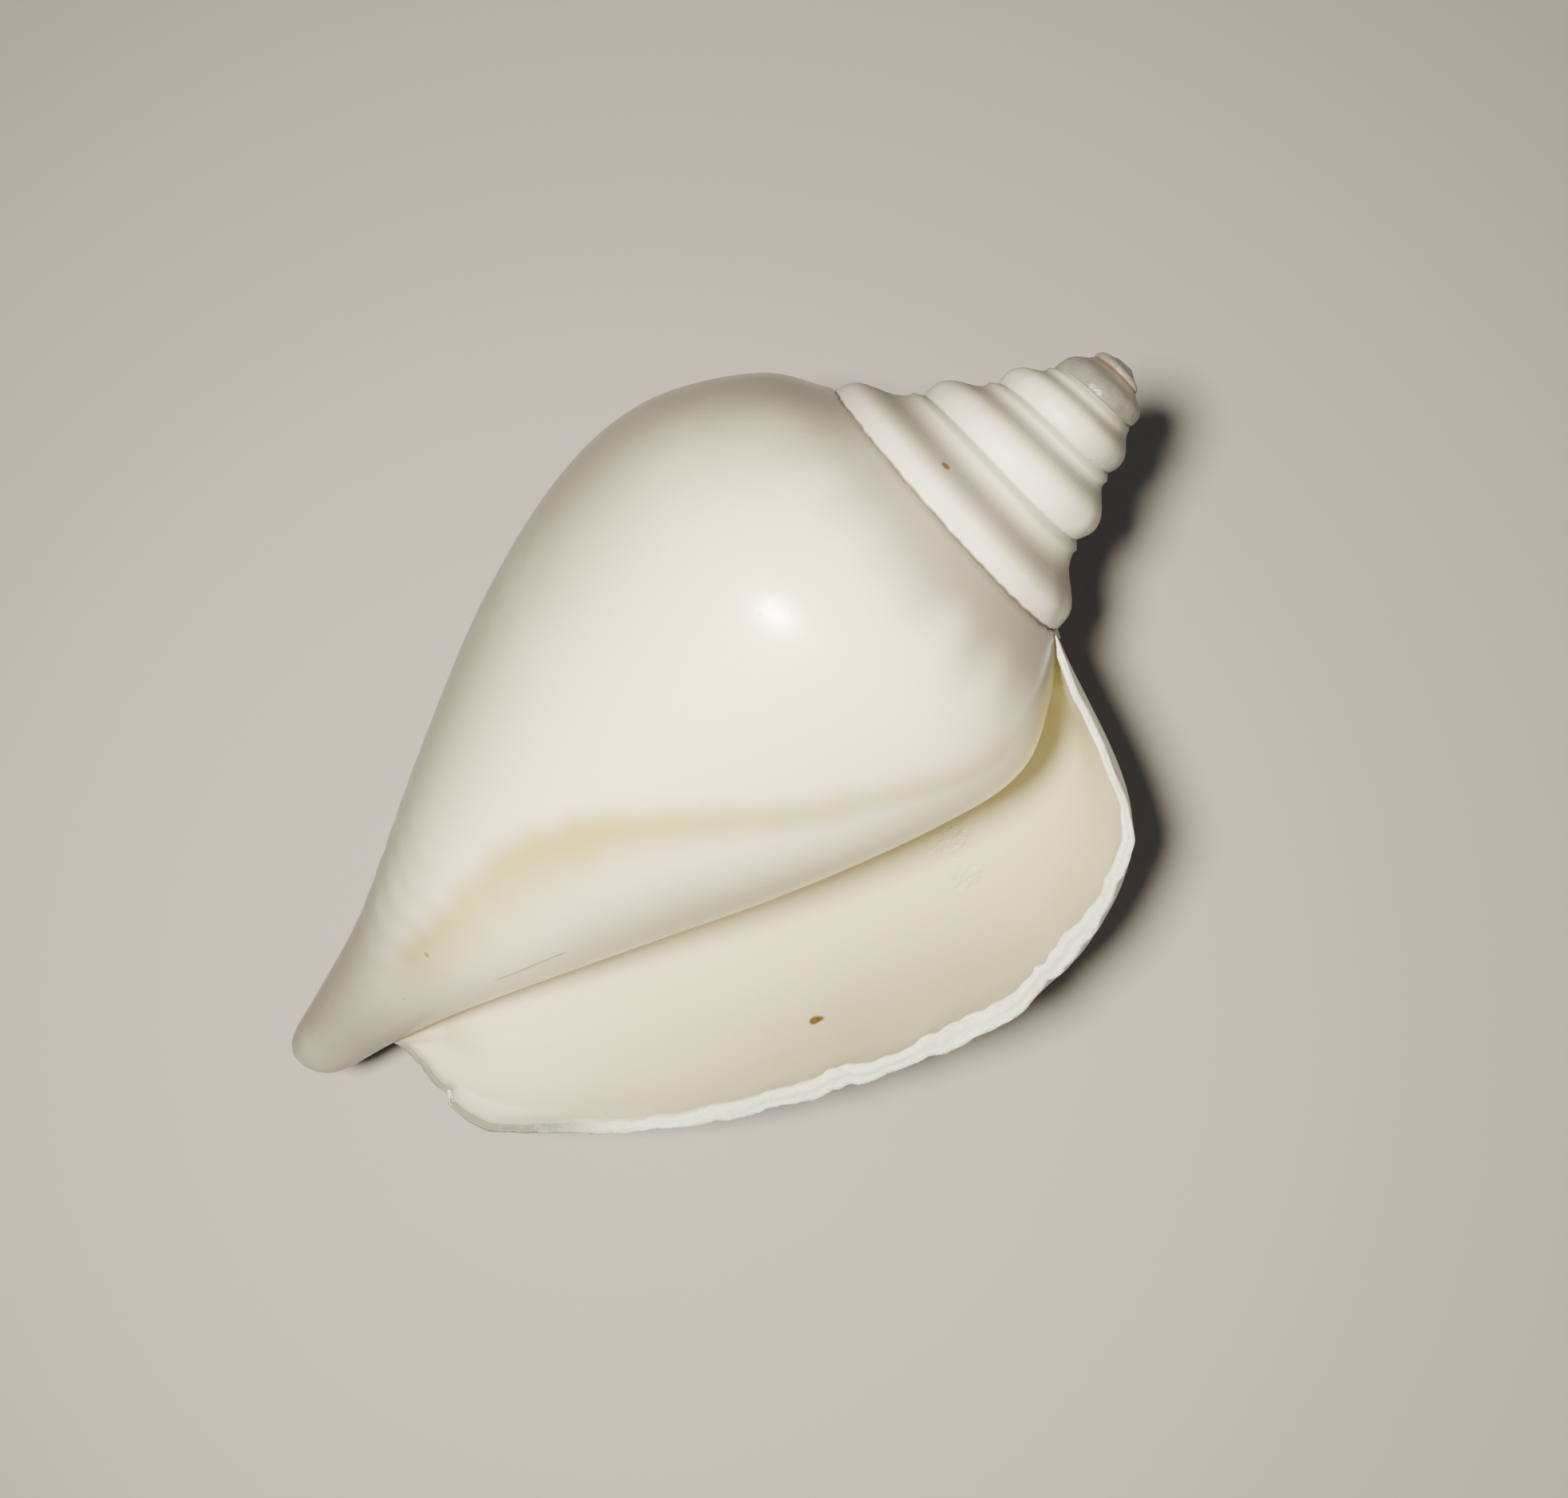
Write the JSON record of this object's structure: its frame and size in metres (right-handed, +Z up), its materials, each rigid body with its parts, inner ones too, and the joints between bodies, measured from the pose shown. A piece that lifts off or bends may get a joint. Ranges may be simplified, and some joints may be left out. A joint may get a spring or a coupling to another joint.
{
  "type": "conch shell",
  "caption": "Empty conch shell lying on its back, mouth up: a short stepped spire, a swollen last whorl, a wide flared thin lip and a tapering siphonal tip.",
  "frame": {"origin": "centre of the bounding box's base, on the surface the shell lies on", "axes": "+Z up; +X along the coiling axis, level, towards the spire; -Y towards the flared lip"},
  "size_m": [0.068, 0.0436, 0.0362],
  "materials": {
    "shell": "satin"
  },
  "bodies": {
    "root": {"shell": "shell"}
  },
  "joints": []
}
